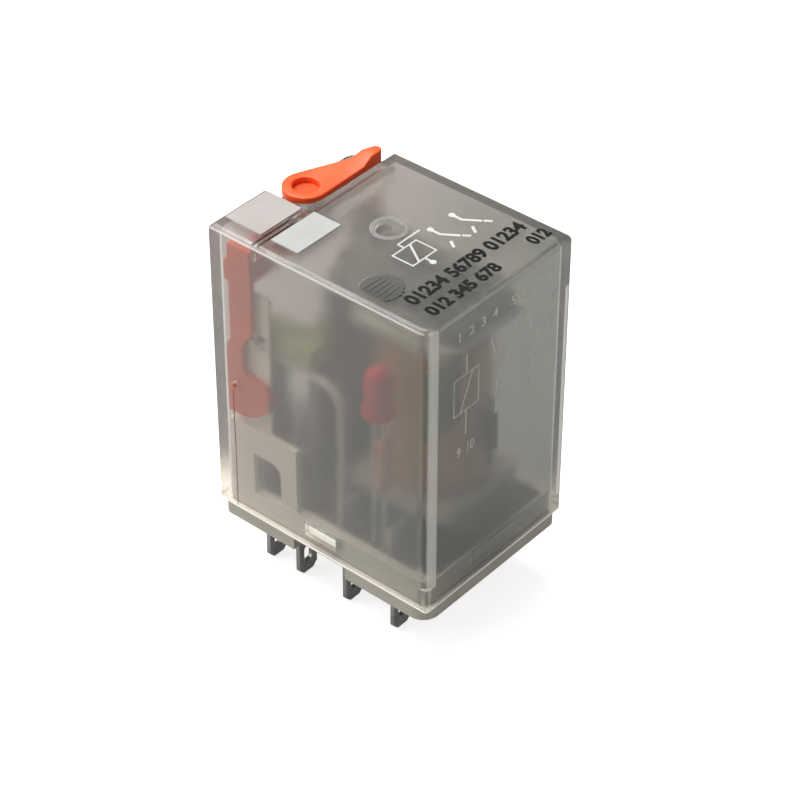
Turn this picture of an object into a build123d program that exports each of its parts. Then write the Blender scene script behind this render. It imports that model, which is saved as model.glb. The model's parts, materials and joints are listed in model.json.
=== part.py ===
# Plug-in relay with two changeover contacts, a test slider and a turning lock lever.
# Millimetres. +X runs along the long side, +Z up, the base's seat is at z = 0.
from build123d import *
import os
from math import atan2, cos, degrees, radians, sin

os.makedirs("parts", exist_ok=True)

# ---- overall ----
length_x = 27.5
width_y = 21.2
height = 35.6
rim_z = 1.9                 # cover's lower rim above the seat

# ---- cover ----
cover_wall = 1.0
corner_r = 1.5              # front right and back left corners
small_corner_r = 0.4        # the other two, and the skirt's
top_edge_r = 0.7
cavity_corner_r = 0.5
skirt_height = 2.8          # square-cornered band at the rim
pocket_x = 5.25             # lever pocket, from the left face
pocket_y = 13.1             # from the back face
pocket_depth = 2.4
pocket_corner_r = 2.5
vent_r = 0.35
vent_from_left = 2.55
vent_z = 17.4
dimple_r = 1.3
dimple_depth = 0.35
dimple_edge_r = 0.3
nub_r = 0.4
nub_height = 0.25
window_r = 2.2              # D-shaped lens over the lamp
window_flat = 1.5           # from its centre to its straight side
window_depth = 0.15
panel_recess = 0.12
panel_gap = 0.1
panel_front = 2.0           # front edge of both panels, from the front face
clear_panel_x = 4.6
clear_panel_y = 5.8
clear_panel_from_left = 0.55
label_x = 3.4
label_y = 6.1
label_from_left = 6.45
groove_width = 0.22
groove_depth = 0.25
groove_pitch = 0.6
groove_from_left = 5.95
groove_length = 7.7
bump_r = 0.5
bump_proud = 0.15
bump_drop = 1.4

# ---- base ----
base_step = 0.35            # how far the plate stands inside the cover's outline
base_corner_r = 1.9         # front right and back left corners
base_small_r = 0.7
rim_gap = 0.06
spigot_gap = 0.1
spigot_top = 4.8
spigot_corner_r = 0.8
spigot_wall = 1.1
tray_z = 2.8                # floor between the spigot's walls
latch_w = 3.8
latch_h = 1.2
latch_z = 4.05
latch_slope = 0.5           # bevel along the lug's upper edge
end_latch_w = 6.0           # the ends' lugs sit in pockets inside the wall
end_latch_depth = 0.5
latch_sink = 0.35           # lug face behind the cover's outer face
latch_gap = 0.15
notch_x0 = -3.9
notch_x1 = 2.9
notch_depth = 1.6
notch_height = 1.4
guard_t = 0.7               # side guards and slider legs
guard_gap = 0.15            # to the cover's inner wall
guard_end = 2.0             # guard's end past the inner contact row
shield_t = 0.45             # tall shields between the slider's legs and the springs
shield_gap = 0.1
shield_right = 1.9          # shield's right edge left of the inner contact row
shield_under_leg = 5.4      # shield's top below the front leg's top
shield_lap = 1.0
peg_slot = 0.4              # room around the peg's path
arch_x0 = 3.7               # arched opening, back from the inner contact row
arch_x1 = -0.1              # and forward of it
arch_bottom = 4.4
arch_top = 9.45
arch_r = 1.3
arch_bottom_r = 0.8
divider_t = 0.8
divider_height = 7.0
seat_y = 4.0                # half width of the coil's seat

# ---- blades ----
blade_t = 0.5
blade_w = 2.6
blade_below = 6.0
blade_tip = 0.6
blade_hole_w = 1.2
blade_hole_h = 2.2
blade_hole_z = 3.6
blade_in_wall = 4.0         # blade centre from the long side's face
slot_gap = 0.03
row_a_from_left = 4.05
row_pitch_ab = 4.1
row_pitch_bc = 6.35
row_pitch_cd = 6.35
contact_blade_top = 9.6
common_blade_top = 7.2
coil_blade_top = 7.6

# ---- contacts ----
swing_deg = 3.0
contact_z = 8.2
contact_r = 1.0
nc_contact_h = 0.7
moving_head_h = 0.45
touch_gap = 0.08
spring_t = 0.15
spring_w = 2.7
spring_below = 1.3
spring_hole_r = 0.5

# ---- magnet ----
pole_z0 = 7.2
pole_t = 1.8
yoke_under_top = 3.3        # yoke's upper face below the cover's ceiling
yoke_t = 1.5
yoke_half_y = 4.8
armature_from_b = 1.6       # armature's left face from the inner contact row
armature_t = 1.2
armature_half_y = 6.8       # below the contact carrier
armature_neck_y = 4.4       # beside it
neck_gap = 0.5
pole_half_y = 4.4
yoke_gap = 0.15
pole_residual = 0.08
hinge_above_yoke = 0.8      # hinge axis above the yoke's lower face
core_r = 1.9
core_end_r = 1.4
core_gap = 0.04
head_r = 2.0
head_h = 0.5
bobbin_from_pole = 1.6
bobbin_from_wall = 1.35
bobbin_from_side = 3.8
flange_t = 1.0
tube_wall = 0.5
winding_inset = 0.5
winding_gap = 0.06
tape_t = 0.12
tape_inset = 1.2
ring_t = 0.4
ring_x = 0.9
ring_y0 = 0.7
ring_gap = 0.03
clip_t = 0.2
clip_lift = 0.05
clip_half_y = 2.2
clip_over = 0.7
clip_drop = 2.6

# ---- contact carrier ----
carrier_t = 1.6
carrier_h = 2.1
carrier_below_hinge = 6.2   # its top edge below the hinge axis
carrier_gap = 0.02
arm_w = 2.7
arm_past_spring = 1.5
arm_past_armature = 0.1
grip_gap = 0.02
peg_r = 0.45
peg_back = 1.0              # peg centre left of the spring
peg_drop = 1.3              # peg centre below the carrier's top edge
rivet_r = 0.6
rivet_head_r = 1.0
rivet_head_h = 0.35
rivet_y = 2.4

# ---- test slider and lever ----
press_travel = 0.9
leg_x0 = 0.9                # leg's left edge from the cavity's wall
leg_w = 2.8
shank_x0 = 0.3              # narrow shank below the leg
shank_w = 2.05
shank_drop = 1.5            # shank's full width begins below the peg
toe_w = 3.3                 # toe's reach past the shank
toe_drop = 4.6              # toe's upper edge below the peg
toe_h = 2.9
toe_slope = 0.5
sole_h = 2.0
sole_w = 1.9
front_leg_under_top = 0.7
leg_under_floor = 0.3
crossbar_w = 2.7
crossbar_h = 2.4
stem_r = 1.3
stem_gap = 0.15
stem_from_left = 2.75
stem_from_back = 10.2
lever_r = 2.35
lever_t = 1.0
lever_bore_gap = 0.05
lever_lap = 0.65            # stem's top below the lever's face
lever_tip_r = 0.55
lever_reach = 8.6
lever_angle = 11.0          # tail's turn from +Y towards +X
lever_rise = 0.7
lever_rise_from = 6.4

# ---- indicator ----
lamp_r = 1.5
lamp_flange_r = 1.7
lamp_flange_h = 0.7
lamp_top = 8.8              # dome's top below the cover's upper face
lamp_length = 5.5
lamp_from_d = 1.4           # lamp axis left of the coil blades
lamp_wall_gap = 0.2
lead_r = 0.22
lead_pitch = 1.3
resistor_r = 0.9
resistor_length = 6.0
resistor_below_lamp = 3.0
board_t = 0.4
board_gap = 0.35
board_y = 4.1
board_h = 8.0
board_under_top = 5.6
chip_t = 0.45
chip_y = 2.0
chip_h = 1.2
chip_pitch = 2.6
diode_r = 0.7
diode_length = 4.0
diode_from_wall = 0.9
diode_y = 0.4
diode_z = 17.4
pigtail_r = 0.45
pigtail_bend = 2.6
pigtail_out = 0.95          # outward from the blade's centre
pigtail_end_gap = 0.05

# ---- derived places ----
half_x = length_x / 2
half_y = width_y / 2
in_x = half_x - cover_wall
in_y = half_y - cover_wall
in_z = height - cover_wall
floor_z = height - pocket_depth
floor_under = floor_z - cover_wall
blade_y = half_y - blade_in_wall
row_a = -half_x + row_a_from_left
row_b = row_a + row_pitch_ab
row_c = row_b + row_pitch_bc
row_d = row_c + row_pitch_cd
guard_y1 = in_y - guard_gap
guard_y0 = guard_y1 - guard_t
shield_y1 = guard_y0 - shield_gap
shield_y0 = shield_y1 - shield_t

yoke_z1 = in_z - yoke_under_top
yoke_z0 = yoke_z1 - yoke_t
hinge_z = yoke_z0 + hinge_above_yoke
swing = radians(swing_deg)
armature_x0 = row_b + armature_from_b
armature_x1 = armature_x0 + armature_t
hinge_x = (armature_x0 + armature_x1) / 2
air_gap = (hinge_z - pole_z0) * sin(swing) + pole_residual
pole_x0 = armature_x1 + air_gap
bobbin_x0 = pole_x0 + bobbin_from_pole
bobbin_x1 = in_x - bobbin_from_wall
bobbin_half_y = in_y - bobbin_from_side
coil_x = (bobbin_x0 + bobbin_x1) / 2
pole_z1 = pole_z0 + pole_t

contact_move = (hinge_z - contact_z) * sin(swing)
nc_face = row_a + blade_t / 2 + nc_contact_h
spring_x = nc_face + touch_gap + moving_head_h + spring_t / 2
moving_face = spring_x + spring_t / 2 + moving_head_h
no_face = moving_face + contact_move + contact_r * sin(swing) + touch_gap
no_contact_h = row_b - blade_t / 2 - no_face

carrier_z1 = hinge_z - carrier_below_hinge
carrier_z0 = carrier_z1 - carrier_h
peg_x = spring_x - peg_back
peg_z = carrier_z1 - peg_drop
peg_move = (hinge_z - peg_z) * sin(swing)
stem_x = -half_x + stem_from_left
stem_y = half_y - stem_from_back
lever_z1 = height
lever_z0 = lever_z1 - lever_t
window_x = row_d - lamp_from_d
lamp_y = -(in_y - lamp_wall_gap - lamp_flange_r)
lamp_z1 = height - lamp_top
lamp_z0 = lamp_z1 - lamp_length
resistor_z1 = lamp_z0 - resistor_below_lamp
resistor_z0 = resistor_z1 - resistor_length
rows = {"nc": row_a, "no": row_b, "common": row_c, "coil": row_d}
blade_tops = {
    "nc": contact_blade_top,
    "no": contact_blade_top,
    "common": common_blade_top,
    "coil": min(coil_blade_top, resistor_z0 - lead_pitch / 2),
}
sides = (-1, 1)


def save(builder, name):
    builder.part.label = name
    export_step(builder.part, f"parts/{name}.step")


# ---- cover: frosted shell, open below, with the lever pocket in its back left corner ----
with BuildPart() as cover:
    with BuildSketch(Plane.XY.offset(rim_z)):
        Rectangle(length_x, width_y)
    extrude(amount=height - rim_z)
    uprights = cover.edges().filter_by(Axis.Z)
    fillet(uprights.filter_by(lambda edge: edge.center().X * edge.center().Y < 0), corner_r)
    uprights = cover.edges().filter_by(Axis.Z).filter_by(lambda edge: edge.center().X * edge.center().Y > 0)
    fillet(uprights.sort_by(Axis.X)[0], small_corner_r)
    fillet(uprights.sort_by(Axis.X)[-1], small_corner_r)
    with BuildSketch(Plane.XY.offset(height)) as pocket:
        with Locations((-half_x + pocket_x, half_y - pocket_y)):
            Rectangle(length_x, width_y, align=(Align.MAX, Align.MIN))
        fillet(pocket.vertices().group_by(Axis.X)[-1].sort_by(Axis.Y)[0], pocket_corner_r)
    extrude(amount=-pocket_depth, mode=Mode.SUBTRACT)
    fillet(cover.faces().sort_by(Axis.Z)[-1].edges(), top_edge_r)
    with BuildSketch(Plane.XY.offset(rim_z)):
        RectangleRounded(length_x, width_y, small_corner_r)
    extrude(amount=skirt_height)
    with BuildSketch(Plane.XY.offset(rim_z)):
        RectangleRounded(2 * in_x, 2 * in_y, cavity_corner_r)
    extrude(amount=floor_under - rim_z, mode=Mode.SUBTRACT)
    with BuildSketch(Plane.XY.offset(floor_under)) as upper_cavity:
        RectangleRounded(2 * in_x, 2 * in_y, cavity_corner_r)
        with Locations((-half_x + pocket_x + cover_wall, half_y - pocket_y - cover_wall)):
            Rectangle(length_x, width_y, align=(Align.MAX, Align.MIN), mode=Mode.SUBTRACT)
    extrude(amount=in_z - floor_under, mode=Mode.SUBTRACT)
    with BuildSketch(Plane.XY.offset(floor_z)):
        with Locations((stem_x, stem_y)):
            Circle(stem_r + stem_gap)
    extrude(amount=-cover_wall, mode=Mode.SUBTRACT)
    # latch windows in the long sides, blind pockets in the ends
    with Locations(*[(0, side * half_y, latch_z) for side in sides]):
        Box(latch_w + 2 * latch_gap, 3 * cover_wall, latch_h + 2 * latch_gap, mode=Mode.SUBTRACT)
    with Locations(*[(side * in_x, 0, latch_z) for side in sides]):
        Box(2 * end_latch_depth, end_latch_w + 2 * latch_gap, latch_h + 2 * latch_gap, mode=Mode.SUBTRACT)
    with BuildSketch(Plane.XZ.offset(half_y)):
        with Locations((-half_x + vent_from_left, vent_z)):
            Circle(vent_r)
    extrude(amount=-cover_wall, mode=Mode.SUBTRACT)
    # moulding-gate dimple with its nub
    with BuildSketch(Plane.XY.offset(height)):
        Circle(dimple_r)
    extrude(amount=-dimple_depth, mode=Mode.SUBTRACT)
    dimple_rim = cover.edges().filter_by(GeomType.CIRCLE).sort_by_distance((0, 0, height))[0]
    fillet(dimple_rim, dimple_edge_r)
    with BuildSketch(Plane.XY.offset(height - dimple_depth)):
        Circle(nub_r)
    extrude(amount=nub_height)
    # D-shaped lens recess over the lamp
    with BuildSketch(Plane.XY.offset(height)):
        with Locations((window_x, lamp_y)):
            Circle(window_r)
        with Locations((window_x, lamp_y - window_flat)):
            Rectangle(2 * window_r, window_r, align=(Align.CENTER, Align.MAX), mode=Mode.SUBTRACT)
    extrude(amount=-window_depth, mode=Mode.SUBTRACT)
    # shallow seats of the clear panel and the label
    with BuildSketch(Plane.XY.offset(height)):
        with Locations((-half_x + clear_panel_from_left - panel_gap, -half_y + panel_front - panel_gap)):
            Rectangle(clear_panel_x + 2 * panel_gap, clear_panel_y + 2 * panel_gap, align=Align.MIN)
        with Locations((-half_x + label_from_left - panel_gap, -half_y + panel_front - panel_gap)):
            Rectangle(label_x + 2 * panel_gap, label_y + 2 * panel_gap, align=Align.MIN)
    extrude(amount=-panel_recess, mode=Mode.SUBTRACT)
    # pair of grooves between the panels, and the bump where they meet the front face
    with BuildSketch(Plane.XY.offset(height)):
        for side in sides:
            with Locations((-half_x + groove_from_left + side * groove_pitch / 2, -half_y)):
                Rectangle(groove_width, groove_length, align=(Align.CENTER, Align.MIN))
    extrude(amount=-groove_depth, mode=Mode.SUBTRACT)
    bump_x = -half_x + groove_from_left
    with Locations((bump_x, -half_y - bump_proud + bump_r, height - bump_drop)):
        Sphere(bump_r)
    with Locations((bump_x, -half_y - bump_proud + bump_r, height - bump_drop)):
        Cylinder(bump_r, bump_drop - top_edge_r, align=(Align.CENTER, Align.CENTER, Align.MIN))
save(cover, "cover")

# ---- clear panel and label, laid in their seats ----
with BuildPart() as clear_panel:
    with BuildSketch(Plane.XY.offset(height - panel_recess)):
        with Locations((-half_x + clear_panel_from_left, -half_y + panel_front)):
            Rectangle(clear_panel_x, clear_panel_y, align=Align.MIN)
    extrude(amount=panel_recess)
save(clear_panel, "clear_panel")

with BuildPart() as marking_label:
    with BuildSketch(Plane.XY.offset(height - panel_recess)):
        with Locations((-half_x + label_from_left, -half_y + panel_front)):
            Rectangle(label_x, label_y, align=Align.MIN)
    extrude(amount=panel_recess)
save(marking_label, "marking_label")

# ---- base: plate, spigot, latch lugs, guards, divider and coil seat ----
guard_x0 = -in_x + shank_x0
guard_x1 = row_b + guard_end
toe_top = peg_z - toe_drop
foot_bottom = toe_top - toe_h - sole_h
guard_top = foot_bottom - press_travel - guard_gap
shield_top = in_z - front_leg_under_top - shield_under_leg
with BuildPart() as base:
    with BuildSketch() as plate:
        Rectangle(length_x - 2 * base_step, width_y - 2 * base_step)
        fillet(plate.vertices().filter_by(lambda corner: corner.X * corner.Y < 0), base_corner_r)
        small = plate.vertices().filter_by(lambda corner: corner.X * corner.Y > 0)
        fillet([small.sort_by(Axis.X)[0], small.sort_by(Axis.X)[-1]], base_small_r)
    extrude(amount=rim_z - rim_gap)
    with BuildSketch(Plane.XY.offset(rim_z / 2)):
        RectangleRounded(2 * (in_x - spigot_gap), 2 * (in_y - spigot_gap), spigot_corner_r)
    extrude(amount=spigot_top - rim_z / 2)
    with BuildSketch(Plane.XY.offset(tray_z)):
        Rectangle(2 * (in_x - spigot_gap - spigot_wall), 2 * (in_y - spigot_gap - spigot_wall))
    extrude(amount=spigot_top, mode=Mode.SUBTRACT)
    for side in sides:
        with Locations((0, side * (half_y - latch_sink), latch_z)):
            Box(latch_w, 2 * (cover_wall + spigot_gap), latch_h,
                align=(Align.CENTER, Align.MAX if side > 0 else Align.MIN, Align.CENTER))
        lug_edge = base.edges().filter_by(Axis.X).sort_by(lambda edge: side * edge.center().Y)
        chamfer(lug_edge.filter_by(lambda edge: edge.center().Z > latch_z)[-1], latch_slope)
        with Locations((side * (in_x + end_latch_depth - latch_gap), 0, latch_z)):
            Box(2 * cover_wall, end_latch_w, latch_h,
                align=(Align.MAX if side > 0 else Align.MIN, Align.CENTER, Align.CENTER))
        with Locations((guard_x0, side * (guard_y0 + guard_t / 2), spigot_top)):
            Box(guard_x1 - guard_x0, guard_t, guard_top - spigot_top,
                align=(Align.MIN, Align.CENTER, Align.MIN))
        with Locations((guard_x0, side * guard_y0, guard_top - shield_lap)):
            Box(row_b - shield_right - guard_x0, shield_gap + shield_t, shield_top - guard_top + shield_lap,
                align=(Align.MIN, Align.MAX if side > 0 else Align.MIN, Align.MIN))
        with Locations((guard_x0, side * guard_y0, guard_top)):
            Box(row_b - shield_right - guard_x0, shield_gap, shield_top - guard_top,
                align=(Align.MIN, Align.MAX if side > 0 else Align.MIN, Align.MIN), mode=Mode.SUBTRACT)
    with BuildSketch(Plane.XZ.offset(half_y)) as arch:
        with Locations((row_b - arch_x0, arch_bottom)):
            Rectangle(arch_x0 + arch_x1, arch_top - arch_bottom, align=Align.MIN)
        fillet(arch.vertices().group_by(Axis.Y)[0].sort_by(Axis.X)[-1], arch_bottom_r)
        fillet(arch.vertices().group_by(Axis.Y)[-1].sort_by(Axis.X)[-1], arch_r)
    extrude(amount=-width_y, mode=Mode.SUBTRACT)
    with Locations((guard_x0, 0, tray_z)):
        Box(row_b - guard_x0, divider_t, divider_height, align=(Align.MIN, Align.CENTER, Align.MIN))
    with Locations(((peg_x + peg_move / 2), 0, peg_z)):
        Box(2 * (peg_r + peg_slot) + peg_move, 3 * in_y, 2 * (peg_r + peg_slot), mode=Mode.SUBTRACT)
    with Locations((pole_x0 + ring_x, 0, tray_z)):
        Box(bobbin_x1 - pole_x0 - ring_x, 2 * seat_y, pole_z0 - tray_z,
            align=(Align.MIN, Align.CENTER, Align.MIN))
    for x in rows.values():
        with Locations((x, -blade_y, 0), (x, blade_y, 0)):
            Box(blade_t + 2 * slot_gap, blade_w + 2 * slot_gap, 3 * spigot_top, mode=Mode.SUBTRACT)
    with Locations(*[((notch_x0 + notch_x1) / 2, side * half_y, 0) for side in sides]):
        Box(notch_x1 - notch_x0, 2 * (notch_depth + base_step), 2 * notch_height, mode=Mode.SUBTRACT)
save(base, "base")

# ---- plug blades, two in each row ----
for row, x in rows.items():
    with BuildPart() as blades:
        for side in sides:
            with BuildSketch(Plane.YZ.offset(x - blade_t / 2)) as outline:
                with Locations((side * blade_y, -blade_below)):
                    Rectangle(blade_w, blade_below + blade_tops[row], align=(Align.CENTER, Align.MIN))
                chamfer(outline.vertices().group_by(Axis.Y)[0], blade_tip)
                with Locations((side * blade_y, -blade_hole_z)):
                    SlotOverall(blade_hole_h, blade_hole_w, rotation=90, mode=Mode.SUBTRACT)
            extrude(amount=blade_t)
    save(blades, f"{row}_blades")

# ---- fixed contacts, riveted on the blades' faces ----
for name, face, thick in (("nc_contacts", row_a + blade_t / 2, nc_contact_h), ("no_contacts", no_face, no_contact_h)):
    with BuildPart() as contacts:
        with BuildSketch(Plane.YZ.offset(face)):
            with Locations((-blade_y, contact_z), (blade_y, contact_z)):
                Circle(contact_r)
        extrude(amount=thick)
    save(contacts, name)

# ---- moving springs with their double-headed contacts ----
spring_z1 = (carrier_z0 + carrier_z1) / 2
with BuildPart() as moving_springs:
    with BuildSketch(Plane.YZ.offset(spring_x - spring_t / 2)):
        for side in sides:
            with Locations((side * blade_y, contact_z - spring_below)):
                Rectangle(spring_w, spring_z1 - contact_z + spring_below, align=(Align.CENTER, Align.MIN))
            with Locations((side * blade_y, contact_z)):
                Circle(spring_hole_r, mode=Mode.SUBTRACT)
    extrude(amount=spring_t)
save(moving_springs, "moving_springs")

with BuildPart() as moving_contacts:
    for face in (nc_face + touch_gap, spring_x + spring_t / 2):
        with BuildSketch(Plane.YZ.offset(face)):
            with Locations((-blade_y, contact_z), (blade_y, contact_z)):
                Circle(contact_r)
        extrude(amount=moving_head_h)
    with BuildSketch(Plane.YZ.offset(spring_x - spring_t / 2)):
        with Locations((-blade_y, contact_z), (blade_y, contact_z)):
            Circle(spring_hole_r - grip_gap)
    extrude(amount=spring_t)
save(moving_contacts, "moving_contacts")

# ---- contact carrier: crossbar on the armature, arms that grip the springs, pegs for the slider ----
bar_x0 = armature_x0 - carrier_t
arm_x0 = spring_x - arm_past_spring
rivet_z = (carrier_z0 + carrier_z1) / 2
peg_end = guard_y1 - touch_gap
with BuildPart() as contact_carrier:
    with Locations((armature_x0 - carrier_gap, 0, carrier_z0)):
        Box(carrier_t, 2 * blade_y + arm_w, carrier_h, align=(Align.MAX, Align.CENTER, Align.MIN))
    for side in sides:
        with Locations((arm_x0, side * blade_y, carrier_z0)):
            Box(armature_x1 + arm_past_armature - arm_x0, arm_w, carrier_h,
                align=(Align.MIN, Align.CENTER, Align.MIN))
        with Locations((peg_x, 0, peg_z)):
            Cylinder(peg_r, 2 * peg_end, rotation=(90, 0, 0))
    with Locations((peg_x, 0, peg_z)):
        Box(2 * arm_w, 2 * (blade_y - arm_w / 2), 2 * carrier_h, mode=Mode.SUBTRACT,
            align=(Align.MAX, Align.CENTER, Align.CENTER))
    with Locations((arm_x0 - peg_r, 0, peg_z)):
        Box(bar_x0 - arm_x0 + peg_r, 2 * (blade_y - arm_w / 2), 2 * carrier_h, mode=Mode.SUBTRACT,
            align=(Align.MIN, Align.CENTER, Align.CENTER))
    for side in sides:
        with Locations((spring_x, side * blade_y, spring_z1 + grip_gap)):
            Box(spring_t + 2 * grip_gap, spring_w + 2 * grip_gap, 2 * carrier_h,
                align=(Align.CENTER, Align.CENTER, Align.MAX), mode=Mode.SUBTRACT)
    with BuildSketch(Plane.YZ.offset(bar_x0 - carrier_gap)):
        with Locations((-rivet_y, rivet_z), (rivet_y, rivet_z)):
            Circle(rivet_r + grip_gap)
    extrude(amount=carrier_t, mode=Mode.SUBTRACT)
save(contact_carrier, "contact_carrier")

# ---- armature plate, hung beside the yoke, its upper edge rounded about the hinge line ----
shoulder_z = carrier_z0 - neck_gap
with BuildPart() as armature:
    with Locations((armature_x0, 0, pole_z0)):
        Box(armature_t, 2 * armature_half_y, shoulder_z - pole_z0, align=(Align.MIN, Align.CENTER, Align.MIN))
    chamfer(armature.edges().filter_by(Axis.X), armature_t / 2)
    with Locations((armature_x0, 0, shoulder_z)):
        Box(armature_t, 2 * armature_neck_y, hinge_z - shoulder_z, align=(Align.MIN, Align.CENTER, Align.MIN))
    with Locations((hinge_x, 0, hinge_z)):
        Cylinder(armature_t / 2, 2 * armature_neck_y, rotation=(90, 0, 0))
    with BuildSketch(Plane.YZ.offset(armature_x0)):
        with Locations((-rivet_y, rivet_z), (rivet_y, rivet_z)):
            Circle(rivet_r + grip_gap)
    extrude(amount=armature_t, mode=Mode.SUBTRACT)
save(armature, "armature")

with BuildPart() as armature_rivets:
    for x0, x1, r in (
        (bar_x0 - carrier_gap - rivet_head_h, bar_x0 - carrier_gap, rivet_head_r),
        (bar_x0 - carrier_gap, armature_x1, rivet_r),
        (armature_x1, armature_x1 + rivet_head_h, rivet_head_r),
    ):
        with BuildSketch(Plane.YZ.offset(x0)):
            with Locations((-rivet_y, rivet_z), (rivet_y, rivet_z)):
                Circle(r)
        extrude(amount=x1 - x0)
save(armature_rivets, "armature_rivets")

# ---- magnet: pole plate, core, yoke, shading ring, retaining clip ----
clip_z0 = yoke_z1 + clip_lift
with BuildPart() as pole_plate:
    with Locations((pole_x0, 0, pole_z0)):
        Box(bobbin_x1 - pole_x0, 2 * pole_half_y, pole_t, align=(Align.MIN, Align.CENTER, Align.MIN))
    with Locations((coil_x, 0, pole_z0)):
        Cylinder(core_end_r + core_gap, 2 * pole_t, mode=Mode.SUBTRACT)
    with Locations((pole_x0, ring_y0 - ring_gap, pole_z0)):
        Box(2 * ring_x, ring_t + 2 * ring_gap, 3 * pole_t, align=(Align.CENTER, Align.MIN, Align.CENTER),
            mode=Mode.SUBTRACT)
save(pole_plate, "pole_plate")

with BuildPart() as core:
    with Locations((coil_x, 0, pole_z0)):
        Cylinder(core_end_r, clip_z0 + clip_t - pole_z0, align=(Align.CENTER, Align.CENTER, Align.MIN))
    with Locations((coil_x, 0, pole_z1)):
        Cylinder(core_r, yoke_z0 - pole_z1, align=(Align.CENTER, Align.CENTER, Align.MIN))
    with Locations((coil_x, 0, clip_z0 + clip_t)):
        Cylinder(head_r, head_h, align=(Align.CENTER, Align.CENTER, Align.MIN))
    fillet(core.faces().sort_by(Axis.Z)[-1].edges(), head_h / 2)
save(core, "core")

with BuildPart() as yoke:
    with Locations((armature_x1 + yoke_gap, 0, yoke_z0)):
        Box(bobbin_x1 - armature_x1 - yoke_gap, 2 * yoke_half_y, yoke_t,
            align=(Align.MIN, Align.CENTER, Align.MIN))
    chamfer(yoke.edges().filter_by(Axis.Z), yoke_t / 2)
    with Locations((coil_x, 0, yoke_z0)):
        Cylinder(core_end_r + core_gap, 3 * yoke_t, mode=Mode.SUBTRACT)
save(yoke, "yoke")

with BuildPart() as shading_ring:
    ring_x0 = pole_x0 + pole_residual
    ring_len = ring_x - pole_residual - ring_gap
    ring_y1 = pole_half_y + ring_gap + ring_t
    with Locations((ring_x0, ring_y0, pole_z0 - ring_gap - ring_t)):
        Box(ring_len, ring_y1 - ring_y0, pole_t + 2 * (ring_gap + ring_t), align=Align.MIN)
    with Locations((ring_x0, ring_y0 + ring_t, pole_z0 - ring_gap)):
        Box(ring_len, ring_y1 - ring_y0 - 2 * ring_t, pole_t + 2 * ring_gap, align=Align.MIN, mode=Mode.SUBTRACT)
save(shading_ring, "shading_ring")

with BuildPart() as retaining_clip:
    clip_x0 = armature_x0 - clip_over
    clip_x1 = coil_x + head_r
    with Locations((clip_x0, 0, clip_z0)):
        Box(clip_x1 - clip_x0, 2 * clip_half_y, clip_t, align=(Align.MIN, Align.CENTER, Align.MIN))
        Box(clip_t, 2 * clip_half_y, clip_drop, align=(Align.MIN, Align.CENTER, Align.MAX))
    with Locations((coil_x, 0, clip_z0)):
        Cylinder(core_end_r + core_gap, 4 * clip_t, mode=Mode.SUBTRACT)
save(retaining_clip, "retaining_clip")

# ---- coil: bobbin, winding, tape ----
bobbin_z0 = pole_z1 + winding_gap
bobbin_z1 = yoke_z0 - winding_gap
bobbin_w = bobbin_x1 - bobbin_x0
tube_r = core_r + core_gap + tube_wall
winding_r = min(bobbin_w / 2, bobbin_half_y) - winding_inset
with BuildPart() as bobbin:
    with Locations((coil_x, 0, bobbin_z0)):
        Box(bobbin_w, 2 * bobbin_half_y, flange_t, align=(Align.CENTER, Align.CENTER, Align.MIN))
        Cylinder(tube_r, bobbin_z1 - bobbin_z0, align=(Align.CENTER, Align.CENTER, Align.MIN))
    with Locations((coil_x, 0, bobbin_z1)):
        Box(bobbin_w, 2 * bobbin_half_y, flange_t, align=(Align.CENTER, Align.CENTER, Align.MAX))
    fillet(bobbin.edges().filter_by(Axis.Z).filter_by(GeomType.LINE), flange_t)
    with Locations((coil_x, 0, 0)):
        Cylinder(core_r + core_gap, 3 * height, mode=Mode.SUBTRACT)
save(bobbin, "bobbin")

winding_z0 = bobbin_z0 + flange_t + winding_gap
winding_h = bobbin_z1 - flange_t - winding_gap - winding_z0
with BuildPart() as winding:
    with BuildSketch(Plane.XY.offset(winding_z0)):
        with Locations((coil_x, 0)):
            Circle(winding_r - winding_gap - tape_t)
            Circle(tube_r + winding_gap, mode=Mode.SUBTRACT)
    extrude(amount=winding_h)
save(winding, "winding")

with BuildPart() as winding_tape:
    with BuildSketch(Plane.XY.offset(winding_z0 + tape_inset)):
        with Locations((coil_x, 0)):
            Circle(winding_r)
            Circle(winding_r - tape_t, mode=Mode.SUBTRACT)
    extrude(amount=winding_h - 2 * tape_inset)
save(winding_tape, "winding_tape")

# ---- indicator: lamp, resistor, board, diode ----
with BuildPart() as lamp:
    with Locations((window_x, lamp_y, lamp_z0)):
        Cylinder(lamp_flange_r, lamp_flange_h, align=(Align.CENTER, Align.CENTER, Align.MIN))
        Cylinder(lamp_r, lamp_length - lamp_r, align=(Align.CENTER, Align.CENTER, Align.MIN))
    with Locations((window_x, lamp_y, lamp_z1 - lamp_r)):
        Sphere(lamp_r)
save(lamp, "lamp")

resistor_x = window_x + lead_pitch / 2
with BuildPart() as resistor:
    with Locations((resistor_x, lamp_y, resistor_z1)):
        Cylinder(resistor_r, resistor_length, align=(Align.CENTER, Align.CENTER, Align.MAX))
    fillet(resistor.edges().filter_by(GeomType.CIRCLE), resistor_r / 2)
save(resistor, "resistor")

with BuildPart() as lamp_leads:
    for x, z0, z1 in (
        (window_x - lead_pitch / 2, spigot_top, lamp_z0),
        (resistor_x, resistor_z1, lamp_z0),
        (resistor_x, spigot_top, resistor_z0),
    ):
        with BuildSketch(Plane.XY.offset(z0)):
            with Locations((x, lamp_y)):
                Circle(lead_r)
        extrude(amount=z1 - z0)
save(lamp_leads, "lamp_leads")

board_x0 = in_x - board_gap - board_t
board_y0 = -in_y + board_gap
board_z1 = height - board_under_top
with BuildPart() as circuit_board:
    with Locations((board_x0, board_y0, board_z1 - board_h)):
        Box(board_t, board_y, board_h, align=Align.MIN)
save(circuit_board, "circuit_board")

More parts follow.
